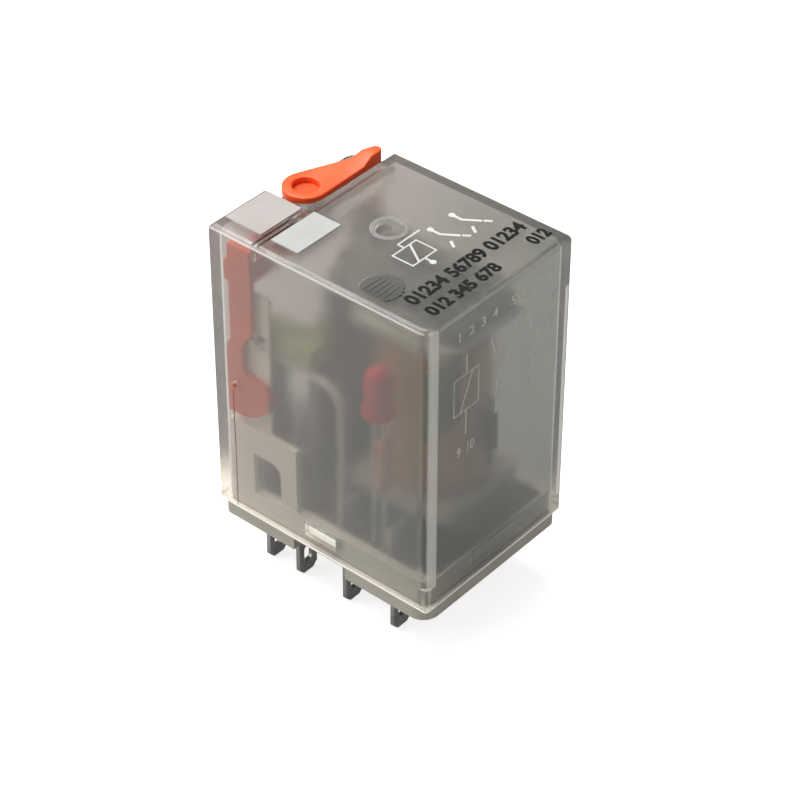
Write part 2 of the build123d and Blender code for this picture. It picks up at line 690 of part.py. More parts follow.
chip_mid = board_z1 - board_h / 2
with BuildPart() as board_chips:
    for k in (-1, 0, 1):
        with Locations((board_x0, board_y0 + board_y / 2, chip_mid + k * chip_pitch)):
            Box(chip_t, chip_y, chip_h, align=(Align.MAX, Align.CENTER, Align.CENTER))
save(board_chips, "board_chips")

with BuildPart() as diode:
    with Locations((in_x - diode_from_wall, diode_y, diode_z)):
        Cylinder(diode_r, diode_length)
    fillet(diode.edges().filter_by(GeomType.CIRCLE), diode_r / 3)
    with Locations((in_x - diode_from_wall, diode_y, diode_z)):
        Cylinder(lead_r, 2 * diode_length)
save(diode, "diode")

# ---- pigtails: braids from the common blades to the moving springs ----
pigtail_z0 = common_blade_top
pigtail_z1 = carrier_z0 - 2 * pigtail_r
with BuildPart() as pigtails:
    for side in sides:
        y = side * (blade_y + pigtail_out)
        with BuildLine() as route:
            FilletPolyline(
                (row_c, y, pigtail_z0),
                (row_c, y, pigtail_z1),
                (spring_x + spring_t / 2 + pigtail_end_gap, y, pigtail_z1),
                radius=pigtail_bend,
            )
        with BuildSketch(Plane.XY.offset(pigtail_z0)):
            with Locations((row_c, y)):
                Circle(pigtail_r)
        sweep(path=route.line)
save(pigtails, "pigtails")

# ---- test slider: two legs with ramps and feet, crossbar, stem ----
peg_arm = hinge_z - peg_z
ramp = atan2(
    peg_arm * sin(swing) + (hinge_x - peg_x) * (1 - cos(swing)),
    press_travel - (hinge_x - peg_x) * sin(swing) + peg_arm * (1 - cos(swing)),
)
ramp_offset = peg_r + touch_gap
ramp_x = peg_x - ramp_offset * cos(ramp)
ramp_z = peg_z + ramp_offset * sin(ramp)
leg_left = -in_x + leg_x0
leg_right = leg_left + leg_w
shank_left = -in_x + shank_x0
shank_right = shank_left + shank_w
toe_right = shank_right + toe_w
ramp_top = ramp_z + (leg_right - ramp_x) * cos(ramp) / sin(ramp)
ramp_bottom = ramp_z + (shank_right - ramp_x) * cos(ramp) / sin(ramp)
leg_tops = {-1: in_z - front_leg_under_top, 1: floor_under - leg_under_floor}
bar_z1 = floor_under - leg_under_floor
with BuildPart() as test_slider:
    for side in sides:
        with BuildSketch(Plane.XZ.offset(guard_y1 if side < 0 else -guard_y0)):
            with BuildLine():
                Polyline(
                    (leg_left, leg_tops[side]),
                    (leg_right, leg_tops[side]),
                    (leg_right, ramp_top),
                    (shank_right, ramp_bottom),
                    (shank_right, toe_top + toe_slope),
                    (toe_right - toe_slope, toe_top),
                    (toe_right, toe_top - toe_slope),
                    (toe_right, toe_top - toe_h),
                    (toe_right - sole_w, foot_bottom + toe_slope),
                    (shank_right, foot_bottom),
                    (shank_left, foot_bottom),
                    (shank_left, peg_z - shank_drop),
                    (leg_left, peg_z - toe_slope),
                    close=True,
                )
            make_face()
        extrude(amount=-guard_t)
    with Locations((stem_x, 0, bar_z1)):
        Box(crossbar_w, 2 * guard_y1, crossbar_h, align=(Align.CENTER, Align.CENTER, Align.MAX))
    with Locations((stem_x, stem_y, bar_z1)):
        Cylinder(stem_r, lever_z1 - lever_lap - bar_z1, align=(Align.CENTER, Align.CENTER, Align.MIN))
save(test_slider, "test_slider")

# ---- lock lever: round head, tapering tail, raised finger tip ----
# the tail's sides are tangents common to the head's circle and the tip's circle
tangent = degrees(atan2(lever_r - lever_tip_r, lever_reach))
tail_plane = Plane(
    origin=(stem_x, stem_y, lever_z0),
    x_dir=(cos(radians(lever_angle)), -sin(radians(lever_angle)), 0),
    z_dir=(0, 0, 1),
)
side_x = cos(radians(tangent))
side_y = sin(radians(tangent))
side_plane = Plane(origin=tail_plane.origin, x_dir=tail_plane.y_dir, z_dir=tail_plane.x_dir)
with BuildPart() as lock_lever:
    with BuildSketch(tail_plane) as lever_outline:
        Circle(lever_r)
        with Locations((0, lever_reach)):
            Circle(lever_tip_r)
        with BuildLine():
            Polyline(
                (-lever_r * side_x, lever_r * side_y),
                (lever_r * side_x, lever_r * side_y),
                (lever_tip_r * side_x, lever_reach + lever_tip_r * side_y),
                (-lever_tip_r * side_x, lever_reach + lever_tip_r * side_y),
                close=True,
            )
        make_face()
    extrude(amount=lever_t + lever_rise)
    with BuildSketch(side_plane):
        with BuildLine():
            Polyline(
                (-2 * lever_r, lever_t),
                (lever_rise_from, lever_t),
                (lever_reach, lever_t + lever_rise),
                (lever_reach + lever_r, lever_t + lever_rise),
                (lever_reach + lever_r, lever_t + 2 * lever_rise),
                (-2 * lever_r, lever_t + 2 * lever_rise),
                close=True,
            )
        make_face()
    extrude(amount=2 * lever_r, both=True, mode=Mode.SUBTRACT)
    with Locations((stem_x, stem_y, lever_z0)):
        Cylinder(stem_r + lever_bore_gap, 4 * lever_t, mode=Mode.SUBTRACT)
save(lock_lever, "lock_lever")

print("hinge", round(hinge_x, 3), round(hinge_z, 3), "stem", round(stem_x, 3), round(stem_y, 3))
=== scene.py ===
import json
import math

import bmesh
import bpy
from mathutils import Matrix, Vector


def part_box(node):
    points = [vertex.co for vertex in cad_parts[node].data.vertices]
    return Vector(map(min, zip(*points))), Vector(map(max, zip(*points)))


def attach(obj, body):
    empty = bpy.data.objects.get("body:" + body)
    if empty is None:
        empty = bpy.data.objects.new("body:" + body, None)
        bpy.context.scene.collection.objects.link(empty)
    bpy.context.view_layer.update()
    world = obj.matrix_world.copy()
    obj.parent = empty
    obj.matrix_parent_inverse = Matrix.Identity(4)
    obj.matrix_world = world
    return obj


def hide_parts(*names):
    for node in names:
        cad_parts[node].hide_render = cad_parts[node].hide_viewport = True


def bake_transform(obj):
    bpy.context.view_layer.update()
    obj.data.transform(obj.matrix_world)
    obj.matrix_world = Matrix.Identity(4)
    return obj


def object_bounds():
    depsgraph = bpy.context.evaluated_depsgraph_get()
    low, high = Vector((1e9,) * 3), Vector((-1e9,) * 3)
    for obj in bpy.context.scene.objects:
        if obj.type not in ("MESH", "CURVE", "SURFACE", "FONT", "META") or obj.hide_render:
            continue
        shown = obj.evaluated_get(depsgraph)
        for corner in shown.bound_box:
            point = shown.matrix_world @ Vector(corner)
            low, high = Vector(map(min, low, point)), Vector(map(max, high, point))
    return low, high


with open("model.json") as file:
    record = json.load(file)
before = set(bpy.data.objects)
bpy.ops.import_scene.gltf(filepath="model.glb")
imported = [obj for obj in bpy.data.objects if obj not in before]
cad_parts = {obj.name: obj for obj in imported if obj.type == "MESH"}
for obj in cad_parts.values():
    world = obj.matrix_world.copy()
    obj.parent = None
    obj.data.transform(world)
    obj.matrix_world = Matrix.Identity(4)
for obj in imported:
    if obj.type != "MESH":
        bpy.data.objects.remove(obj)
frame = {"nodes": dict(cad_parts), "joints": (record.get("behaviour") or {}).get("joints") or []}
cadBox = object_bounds()
print("frame loaded:", len(frame["nodes"]), "nodes")

mm = 0.001
nodes = frame["nodes"]


def deselectAll():
    if bpy.context.object and bpy.context.object.mode != "OBJECT":
        bpy.ops.object.mode_set(mode="OBJECT")
    bpy.ops.object.select_all(action="DESELECT")


def makeActive(obj):
    deselectAll()
    obj.select_set(True)
    bpy.context.view_layer.objects.active = obj


def selectVerts(obj, test):  # test takes the point's place
    bpy.ops.object.mode_set(mode="EDIT")
    bpy.ops.mesh.select_mode(type="VERT")
    bpy.ops.mesh.select_all(action="DESELECT")
    grid = bmesh.from_edit_mesh(obj.data)
    for vert in grid.verts:
        vert.select_set(bool(test(vert.co)))
    grid.select_flush(True)
    bmesh.update_edit_mesh(obj.data)


def applyPlace(obj):
    makeActive(obj)
    bpy.ops.object.transform_apply(location=True, rotation=True, scale=True)


def applyModifiers(obj):
    makeActive(obj)
    for modifier in list(obj.modifiers):
        bpy.ops.object.modifier_apply(modifier=modifier.name)


def bevelEdges(obj, width, segments=3, angle=40):
    bevel = obj.modifiers.new("edges", "BEVEL")
    bevel.width = width
    bevel.segments = segments
    bevel.limit_method = "ANGLE"
    bevel.angle_limit = math.radians(angle)
    applyModifiers(obj)


def smooth(obj, angle=35):
    makeActive(obj)
    bpy.ops.object.shade_smooth_by_angle(angle=math.radians(angle))


def finishPiece(obj, name, material, body):
    obj.name = name
    obj.data.materials.clear()
    obj.data.materials.append(material)
    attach(obj, body)


def dressNode(name, material):
    obj = nodes[name]
    obj.data.materials.clear()
    obj.data.materials.append(material)
    smooth(obj, 30)


def addCylinder(radius, depth, place, sides=64):
    deselectAll()
    bpy.ops.mesh.primitive_cylinder_add(vertices=sides, radius=radius, depth=depth, location=place)
    obj = bpy.context.object
    applyPlace(obj)
    return obj


def joinAll(pieces):
    deselectAll()
    for piece in pieces:
        piece.select_set(True)
    bpy.context.view_layer.objects.active = pieces[0]
    bpy.ops.object.join()
    return bpy.context.object


def cutWith(obj, cutter):
    cut = obj.modifiers.new("cut", "BOOLEAN")
    cut.operation = "DIFFERENCE"
    cut.object = cutter
    applyModifiers(obj)
    bpy.data.objects.remove(cutter)


def toMesh(obj):
    makeActive(obj)
    bpy.ops.object.convert(target="MESH")
    return bpy.context.object


def addRoute(points, thickness=0.0, closed=False):  # a curve through the points, made a mesh
    deselectAll()
    bpy.ops.curve.primitive_bezier_curve_add()
    obj = bpy.context.object
    curve = obj.data
    curve.splines.clear()
    spline = curve.splines.new("POLY")
    spline.points.add(len(points) - 1)
    for target, point in zip(spline.points, points):
        target.co = (*point, 1)
    spline.use_cyclic_u = closed
    curve.dimensions = "3D"
    curve.bevel_depth = thickness
    curve.bevel_resolution = 1
    curve.use_fill_caps = True
    return toMesh(obj)


def newGroup(name, inputs, outputs):  # a shader node group that gives only colours, values and heights
    group = bpy.data.node_groups.new(name, "ShaderNodeTree")
    for label, kind, value in inputs:
        socket = group.interface.new_socket(name=label, in_out="INPUT", socket_type=kind)
        socket.default_value = value
    for label, kind in outputs:
        group.interface.new_socket(name=label, in_out="OUTPUT", socket_type=kind)
    return group, group.nodes.new("NodeGroupInput"), group.nodes.new("NodeGroupOutput")


def mixColours(tree, factor, first, second):
    mix = tree.nodes.new("ShaderNodeMix")
    mix.data_type = "RGBA"
    for socket, value in ((mix.inputs[0], factor), (mix.inputs[6], first), (mix.inputs[7], second)):
        if isinstance(value, bpy.types.NodeSocket):
            tree.links.new(value, socket)
        else:
            socket.default_value = value
    return mix.outputs[2]


def mapRange(tree, value, fromMin, fromMax, toMin, toMax):
    node = tree.nodes.new("ShaderNodeMapRange")
    tree.links.new(value, node.inputs["Value"])
    for label, number in (("From Min", fromMin), ("From Max", fromMax), ("To Min", toMin), ("To Max", toMax)):
        if isinstance(number, bpy.types.NodeSocket):
            tree.links.new(number, node.inputs[label])
        else:
            node.inputs[label].default_value = number
    return node.outputs["Result"]


def mathNode(tree, operation, first, second=None):
    node = tree.nodes.new("ShaderNodeMath")
    node.operation = operation
    for socket, value in zip(node.inputs, (first, second)):
        if isinstance(value, bpy.types.NodeSocket):
            tree.links.new(value, socket)
        elif value is not None:
            socket.default_value = value
    return node.outputs[0]


def noiseNode(tree, vector, scale, detail=4.0, rough=0.6):
    node = tree.nodes.new("ShaderNodeTexNoise")
    node.inputs["Scale"].default_value = scale
    node.inputs["Detail"].default_value = detail
    node.inputs["Roughness"].default_value = rough
    tree.links.new(vector, node.inputs["Vector"])
    return node.outputs["Fac"]


def makeMouldedSkin():  # soft colour drift and fine moulded grain
    group, start, end = newGroup(
        "mouldedSkin",
        [("Light", "NodeSocketColor", (1, 1, 1, 1)), ("Dark", "NodeSocketColor", (0, 0, 0, 1)),
         ("Drift", "NodeSocketFloat", 220.0), ("Rough Low", "NodeSocketFloat", 0.4),
         ("Rough High", "NodeSocketFloat", 0.6)],
        [("Colour", "NodeSocketColor"), ("Rough", "NodeSocketFloat"), ("Height", "NodeSocketFloat")],
    )
    place = group.nodes.new("ShaderNodeTexCoord").outputs["Object"]
    broad = group.nodes.new("ShaderNodeTexNoise")
    broad.inputs["Detail"].default_value = 3.0
    group.links.new(place, broad.inputs["Vector"])
    group.links.new(start.outputs["Drift"], broad.inputs["Scale"])
    fine = noiseNode(group, place, 6000.0, 5.0)
    blend = mapRange(group, broad.outputs["Fac"], 0.35, 0.68, 0.0, 1.0)
    group.links.new(mixColours(group, blend, start.outputs["Dark"], start.outputs["Light"]), end.inputs["Colour"])
    rough = mapRange(group, fine, 0.3, 0.7, start.outputs["Rough Low"], start.outputs["Rough High"])
    group.links.new(rough, end.inputs["Rough"])
    group.links.new(fine, end.inputs["Height"])
    return group


def makeRolledMetal():  # fine rolling lines along one direction, with dull patches
    group, start, end = newGroup(
        "rolledMetal",
        [("Light", "NodeSocketColor", (1, 1, 1, 1)), ("Dark", "NodeSocketColor", (0, 0, 0, 1)),
         ("Stretch", "NodeSocketVector", (1, 1, 0.06)), ("Rough Low", "NodeSocketFloat", 0.2),
         ("Rough High", "NodeSocketFloat", 0.45)],
        [("Colour", "NodeSocketColor"), ("Rough", "NodeSocketFloat"), ("Height", "NodeSocketFloat")],
    )
    place = group.nodes.new("ShaderNodeTexCoord").outputs["Object"]
    mapping = group.nodes.new("ShaderNodeMapping")
    group.links.new(place, mapping.inputs["Vector"])
    group.links.new(start.outputs["Stretch"], mapping.inputs["Scale"])
    lines = noiseNode(group, mapping.outputs["Vector"], 9000.0, 4.0)
    patches = noiseNode(group, place, 500.0, 3.0)
    blend = mapRange(group, patches, 0.3, 0.7, 0.0, 1.0)
    group.links.new(mixColours(group, blend, start.outputs["Dark"], start.outputs["Light"]), end.inputs["Colour"])
    both = mathNode(group, "MULTIPLY_ADD", lines, 0.6)
    group.links.new(mathNode(group, "MULTIPLY", patches, 0.4), both.node.inputs[2])
    rough = mapRange(group, both, 0.3, 0.7, start.outputs["Rough Low"], start.outputs["Rough High"])
    group.links.new(rough, end.inputs["Rough"])
    group.links.new(lines, end.inputs["Height"])
    return group


def makeBoxMask():  # 1 inside a box given by its centre and half sizes, with a soft edge
    group, start, end = newGroup(
        "boxMask",
        [("Centre", "NodeSocketVector", (0, 0, 0)), ("Half", "NodeSocketVector", (1, 1, 1)),
         ("Soft", "NodeSocketFloat", 0.0001)],
        [("Mask", "NodeSocketFloat")],
    )
    place = group.nodes.new("ShaderNodeTexCoord").outputs["Object"]
    away = group.nodes.new("ShaderNodeVectorMath")
    away.operation = "SUBTRACT"
    group.links.new(place, away.inputs[0])
    group.links.new(start.outputs["Centre"], away.inputs[1])
    size = group.nodes.new("ShaderNodeVectorMath")
    size.operation = "ABSOLUTE"
    group.links.new(away.outputs[0], size.inputs[0])
    over = group.nodes.new("ShaderNodeVectorMath")
    over.operation = "SUBTRACT"
    group.links.new(size.outputs[0], over.inputs[0])
    group.links.new(start.outputs["Half"], over.inputs[1])
    parts = group.nodes.new("ShaderNodeSeparateXYZ")
    group.links.new(over.outputs[0], parts.inputs[0])
    most = mathNode(group, "MAXIMUM", parts.outputs[0], parts.outputs[1])
    most = mathNode(group, "MAXIMUM", most, parts.outputs[2])
    share = mathNode(group, "DIVIDE", most, start.outputs["Soft"])
    inside = mathNode(group, "SUBTRACT", 0.5, share)
    inside.node.use_clamp = True
    group.links.new(inside, end.inputs["Mask"])
    return group


mouldedSkin = makeMouldedSkin()
rolledMetal = makeRolledMetal()
boxMask = makeBoxMask()
print("node groups ready")


def newMaterial(name):
    material = bpy.data.materials.new(name)
    material.use_nodes = True
    return material, material.node_tree, material.node_tree.nodes["Principled BSDF"]


def addSkin(tree, shader, group, values, bump):
    skin = tree.nodes.new("ShaderNodeGroup")
    skin.node_tree = group
    for label, value in values.items():
        skin.inputs[label].default_value = value
    tree.links.new(skin.outputs["Colour"], shader.inputs["Base Color"])
    tree.links.new(skin.outputs["Rough"], shader.inputs["Roughness"])
    relief = tree.nodes.new("ShaderNodeBump")
    relief.inputs["Strength"].default_value = bump
    relief.inputs["Distance"].default_value = 0.01 * mm
    tree.links.new(skin.outputs["Height"], relief.inputs["Height"])
    tree.links.new(relief.outputs["Normal"], shader.inputs["Normal"])


def plastic(name, light, dark, rough=(0.35, 0.5), drift=220.0, bump=0.3, **sockets):
    material, tree, shader = newMaterial(name)
    addSkin(tree, shader, mouldedSkin, {
        "Light": (*light, 1), "Dark": (*dark, 1), "Drift": drift,
        "Rough Low": rough[0], "Rough High": rough[1]}, bump)
    for label, value in sockets.items():
        shader.inputs[label.replace("_", " ")].default_value = value
    return material


def metal(name, light, dark, rough=(0.22, 0.42), stretch=(1, 1, 0.06), bump=0.25):
    material, tree, shader = newMaterial(name)
    addSkin(tree, shader, rolledMetal, {
        "Light": (*light, 1), "Dark": (*dark, 1), "Stretch": stretch,
        "Rough Low": rough[0], "Rough High": rough[1]}, bump)
    shader.inputs["Metallic"].default_value = 1.0
    return material


coverLook = {
    "colour": (0.65, 0.61, 0.575, 1),  # towards the left face; the colour below, darker towards the right face, is painted shade
    "paintedShadeColour": (0.455, 0.455, 0.42, 1),
    "fadeFrom": -12.0 * mm,
    "fadeTo": 13.0 * mm,
    "rough": (0.22, 0.27),
    "index": 1.45,
    "transmission": 0.94,
    "shadowTint": (0.70, 0.68, 0.65, 1),
    # painted highlight along the shell's lower edge
    "rimHighlightColour": (0.86, 0.83, 0.76, 1),
    "rimLow": 2.05 * mm,
    "rimHigh": 2.25 * mm,
    "rimTransmission": 0.15,
}
paintedEdgeHighlights = (  # painted highlights on light-gathering edges: centre, half size and strength of each, in mm
    ((13.55, -9.65, 20.0), (0.35, 0.5, 15.4), 0.6),
    ((13.6, 9.95, 17.0), (0.3, 0.27, 13.0), 0.9),
    ((0.0, -10.5, 35.25), (13.4, 0.2, 0.12), 0.45),
    ((13.65, 0.0, 35.25), (0.2, 9.6, 0.12), 0.3),
)


def edgeHighlightMask(tree):
    total = None
    for centre, half, strength in paintedEdgeHighlights:
        mask = tree.nodes.new("ShaderNodeGroup")
        mask.node_tree = boxMask
        mask.inputs["Centre"].default_value = [value * mm for value in centre]
        mask.inputs["Half"].default_value = [value * mm for value in half]
        mask.inputs["Soft"].default_value = 0.18 * mm
        share = mathNode(tree, "MULTIPLY", mask.outputs["Mask"], strength)
        total = share if total is None else mathNode(tree, "MAXIMUM", total, share)
    return total


def makeFrostedCover():
    material, tree, shader = newMaterial("frostedCover")
    place = tree.nodes.new("ShaderNodeTexCoord").outputs["Object"]
    fine = noiseNode(tree, place, 2400.0, 3.0)
    broad = noiseNode(tree, place, 260.0, 3.0)
    roughness = mapRange(tree, broad, 0.3, 0.7, *coverLook["rough"])
    tree.links.new(roughness, shader.inputs["Roughness"])
    # painted highlight: the lower edge of the shell, where it gathers light, is painted cream
    height = tree.nodes.new("ShaderNodeSeparateXYZ")
    tree.links.new(place, height.inputs[0])
    above = mapRange(tree, height.outputs[2], coverLook["rimLow"], coverLook["rimHigh"], 0.0, 1.0)
    # painted shade: the shell's colour darkens from the left face towards the right face
    across = mapRange(tree, height.outputs[0], coverLook["fadeFrom"], coverLook["fadeTo"], 0.0, 1.0)
    tintWithPaintedShade = mixColours(tree, across, coverLook["colour"], coverLook["paintedShadeColour"])
    # painted highlights: the listed edges take the cream colour too
    above = mathNode(tree, "SUBTRACT", above, edgeHighlightMask(tree))
    above.node.use_clamp = True
    tint = mixColours(tree, above, coverLook["rimHighlightColour"], tintWithPaintedShade)
    tree.links.new(tint, shader.inputs["Base Color"])
    through = mapRange(tree, above, 0.0, 1.0, coverLook["rimTransmission"], coverLook["transmission"])
    tree.links.new(through, shader.inputs["Transmission Weight"])
    shader.inputs["IOR"].default_value = coverLook["index"]
    relief = tree.nodes.new("ShaderNodeBump")
    relief.inputs["Strength"].default_value = 0.1
    relief.inputs["Distance"].default_value = 0.01 * mm
    tree.links.new(fine, relief.inputs["Height"])
    tree.links.new(relief.outputs["Normal"], shader.inputs["Normal"])
    # shadow rays pass straight through, so that what is inside is lit
    lightPath = tree.nodes.new("ShaderNodeLightPath")
    clear = tree.nodes.new("ShaderNodeBsdfTransparent")
    clear.inputs["Color"].default_value = coverLook["shadowTint"]
    mix = tree.nodes.new("ShaderNodeMixShader")
    tree.links.new(lightPath.outputs["Is Shadow Ray"], mix.inputs["Fac"])
    tree.links.new(shader.outputs["BSDF"], mix.inputs[1])
    tree.links.new(clear.outputs["BSDF"], mix.inputs[2])
    tree.links.new(mix.outputs["Shader"], tree.nodes["Material Output"].inputs["Surface"])
    return material


materials = {
    "cover": makeFrostedCover(),
    "clearPanel": plastic("clearPanel", (0.39, 0.355, 0.34), (0.35, 0.32, 0.305), rough=(0.18, 0.26), bump=0.1),
    "label": plastic("whiteLabel", (0.37, 0.38, 0.365), (0.33, 0.34, 0.325), rough=(0.4, 0.5), bump=0.15),
    "base": plastic("beigeBase", (0.30, 0.28, 0.235), (0.26, 0.243, 0.2), rough=(0.42, 0.5), bump=0.12),
    # painted shade: this tin colour is darkened for the pins below the plate
    "tin": metal("tinPlate", (0.30, 0.30, 0.29), (0.20, 0.20, 0.195), stretch=(1, 1, 0.08)),
    "silver": metal("contactSilver", (0.78, 0.77, 0.74), (0.62, 0.60, 0.56), stretch=(1, 1, 1)),
    "bronze": metal("springBronze", (0.66, 0.46, 0.28), (0.55, 0.37, 0.22)),
    "carrier": plastic("paleCarrier", (0.40, 0.43, 0.20), (0.35, 0.38, 0.17), bump=0.3),
    "iron": metal("platedIron", (0.24, 0.24, 0.235), (0.15, 0.15, 0.15), rough=(0.28, 0.5)),
    "springSteel": metal("springSteel", (0.26, 0.26, 0.255), (0.2, 0.2, 0.2), stretch=(0.06, 1, 1)),
    "copper": metal("bareCopper", (0.50, 0.23, 0.14), (0.36, 0.15, 0.09)),
    "wire": plastic("enamelledWire", (0.42, 0.13, 0.05), (0.30, 0.08, 0.03), rough=(0.2, 0.3), Coat_Weight=0.6),
    "bobbin": plastic("ivoryBobbin", (0.62, 0.60, 0.53), (0.56, 0.54, 0.47)),
    "orange": plastic("orangeLever", (0.93, 0.088, 0.011), (0.86, 0.076, 0.009), rough=(0.36, 0.5), bump=0.35),
    "slider": plastic("orangeSlider", (0.68, 0.085, 0.015), (0.60, 0.07, 0.012), rough=(0.36, 0.5), bump=0.35),
    "lamp": plastic("redLamp", (0.85, 0.01, 0.015), (0.70, 0.005, 0.01), rough=(0.1, 0.16), bump=0.05,
                    Transmission_Weight=0.35),
    "resistor": plastic("resistorLacquer", (0.62, 0.30, 0.24), (0.55, 0.25, 0.2), rough=(0.2, 0.3)),
    "board": plastic("greenBoard", (0.10, 0.15, 0.04), (0.065, 0.10, 0.025), rough=(0.2, 0.32)),
    "black": plastic("blackMoulding", (0.02, 0.02, 0.02), (0.012, 0.012, 0.012), rough=(0.4, 0.55)),
    "blackInk": plastic("blackInk", (0.008, 0.008, 0.009), (0.014, 0.014, 0.015), rough=(0.5, 0.7), bump=0.1,
                        Specular_IOR_Level=0.08),
    "whiteInk": plastic("paleInk", (0.56, 0.57, 0.55), (0.46, 0.47, 0.45), rough=(0.4, 0.6), bump=0.2),
    # painted shade: the dark lens stands for the dim inside seen through a clear window
    "lensPaintedShade": plastic("lensPaintedShade", (0.13, 0.13, 0.12), (0.10, 0.10, 0.09), rough=(0.06, 0.12), bump=0.05,
                        Transmission_Weight=0.3),
    "paleRim": plastic("paleRim", (0.52, 0.50, 0.47), (0.46, 0.44, 0.41), rough=(0.25, 0.35), bump=0.05,
                       Transmission_Weight=0.6),
    "braid": plastic("tinnedBraid", (0.85, 0.83, 0.77), (0.72, 0.70, 0.64), Metallic=0.25),
    "thread": plastic("redThread", (0.22, 0.09, 0.06), (0.16, 0.06, 0.04)),
    "tape": plastic("amberTape", (0.85, 0.52, 0.22), (0.80, 0.46, 0.18), rough=(0.15, 0.25), drift=400.0, bump=0.1,
                    Alpha=0.45),
    "faintInk": plastic("faintInk", (0.42, 0.43, 0.39), (0.36, 0.37, 0.33), rough=(0.4, 0.6), bump=0.2),
}


plateEdge = (1.9 * mm, 2.4 * mm)
guardSpace = {
    "centre": (0, 0, 20.2 * mm), "half": (12.4 * mm, 8.35 * mm, 17.6 * mm), "shade": (0.035, 0.034, 0.03, 1),
}


def paintLitAndShadedAtPlate(material, colour, metallic):  # painted light: a lit copy of the colour above the base plate, a shaded copy below it
    tree = material.node_tree
    shader = tree.nodes["Principled BSDF"]
    outside = shader.inputs["Base Color"].links[0].from_socket
    place = tree.nodes.new("ShaderNodeTexCoord").outputs["Object"]
    height = tree.nodes.new("ShaderNodeSeparateXYZ")
    tree.links.new(place, height.inputs[0])
    above = mapRange(tree, height.outputs[2], *plateEdge, 0.0, 1.0)
    tree.links.new(mixColours(tree, above, outside, (*colour, 1)), shader.inputs["Base Color"])
    tree.links.new(mapRange(tree, above, 0.0, 1.0, *metallic), shader.inputs["Metallic"])


def shadeBetweenGuards(material):  # little light reaches the space between the side guards
    tree = material.node_tree
    shader = tree.nodes["Principled BSDF"]
    outside = shader.inputs["Base Color"].links[0].from_socket
    mask = tree.nodes.new("ShaderNodeGroup")
    mask.node_tree = boxMask
    mask.inputs["Centre"].default_value = guardSpace["centre"]
    mask.inputs["Half"].default_value = guardSpace["half"]
    tree.links.new(mixColours(tree, mask.outputs["Mask"], outside, guardSpace["shade"]), shader.inputs["Base Color"])


# painted light: the base is painted lighter above the plate, the tin pins darker below it
paintLitAndShadedAtPlate(materials["base"], (0.78, 0.76, 0.69), (0.0, 0.0))
shadeBetweenGuards(materials["base"])
paintLitAndShadedAtPlate(materials["tin"], (0.62, 0.62, 0.58), (1.0, 0.3))
print("materials ready:", len(materials))

# each CAD node and its finish
nodeFinish = {
    "cover": "cover", "clear_panel": "clearPanel", "marking_label": "label", "base": "base",
    "nc_blades": "tin", "no_blades": "tin", "common_blades": "tin", "coil_blades": "tin",
    "nc_contacts": "silver", "no_contacts": "silver", "moving_contacts": "silver", "moving_springs": "bronze",
    "contact_carrier": "carrier", "armature": "iron", "armature_rivets": "iron", "pole_plate": "iron",
    "core": "iron", "yoke": "iron", "shading_ring": "copper", "retaining_clip": "springSteel",
    "bobbin": "bobbin", "winding": "wire", "winding_tape": "tape", "lamp": "lamp", "resistor": "resistor",
    "lamp_leads": "tin", "circuit_board": "board", "board_chips": "black", "diode": "black",
    "pigtails": "copper", "test_slider": "slider", "lock_lever": "orange",
}
for nodeName, finish in nodeFinish.items():
    dressNode(nodeName, materials[finish])
print("CAD nodes dressed")

# lock lever: round head, tapering tail, raised finger nub
jointPlace = {joint["name"]: Vector(joint.get("pos_m", (0, 0, 0))) for joint in frame["joints"]}
leverLook = {
    "headR": 2.35 * mm, "tipR": 0.55 * mm, "reach": 8.6 * mm, "thick": 1.0 * mm, "boreR": 1.36 * mm,
    "turn": -11.0, "nubFrom": 6.3 * mm, "nubTo": 7.5 * mm, "rise": 0.68 * mm, "edge": 0.13 * mm,
}


def addLever():
    thick, reach = leverLook["thick"], leverLook["reach"]
    head = addCylinder(leverLook["headR"], thick, (0, 0, thick / 2), sides=72)
    tip = addCylinder(leverLook["tipR"], thick, (0, reach, thick / 2), sides=32)
    lever = joinAll([head, tip])
    bpy.ops.object.mode_set(mode="EDIT")
    bpy.ops.mesh.select_all(action="SELECT")
    bpy.ops.mesh.convex_hull()
    for along in (leverLook["nubFrom"], leverLook["nubTo"]):
        bpy.ops.mesh.select_all(action="SELECT")
        bpy.ops.mesh.bisect(plane_co=(0, along, 0), plane_no=(0, 1, 0))
    selectVerts(lever, lambda co: co.y > leverLook["nubTo"] - 0.1 * mm and co.z > thick / 2)
    bpy.ops.transform.translate(value=(0, 0, leverLook["rise"]))
    bpy.ops.mesh.select_all(action="SELECT")
    bpy.ops.mesh.dissolve_limited(angle_limit=math.radians(1))
    bpy.ops.object.mode_set(mode="OBJECT")
    cutWith(lever, addCylinder(leverLook["boreR"], 4 * thick, (0, 0, thick / 2), sides=56))
    bevelEdges(lever, leverLook["edge"], angle=35)
    pivot = jointPlace["lever_turn"]
    lever.rotation_euler.z = math.radians(leverLook["turn"])
    lever.location = (pivot.x, pivot.y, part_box("lock_lever")[0].z)
    applyPlace(lever)
    smooth(lever, 35)
    finishPiece(lever, "lever", materials["orange"], "lever")
    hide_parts("lock_lever")


addLever()
print("lever ready")

# coil winding: one wire wound turn on turn
coilLook = {"wireR": 0.19 * mm, "closeness": 0.97, "steps": 44, "profile": 8}


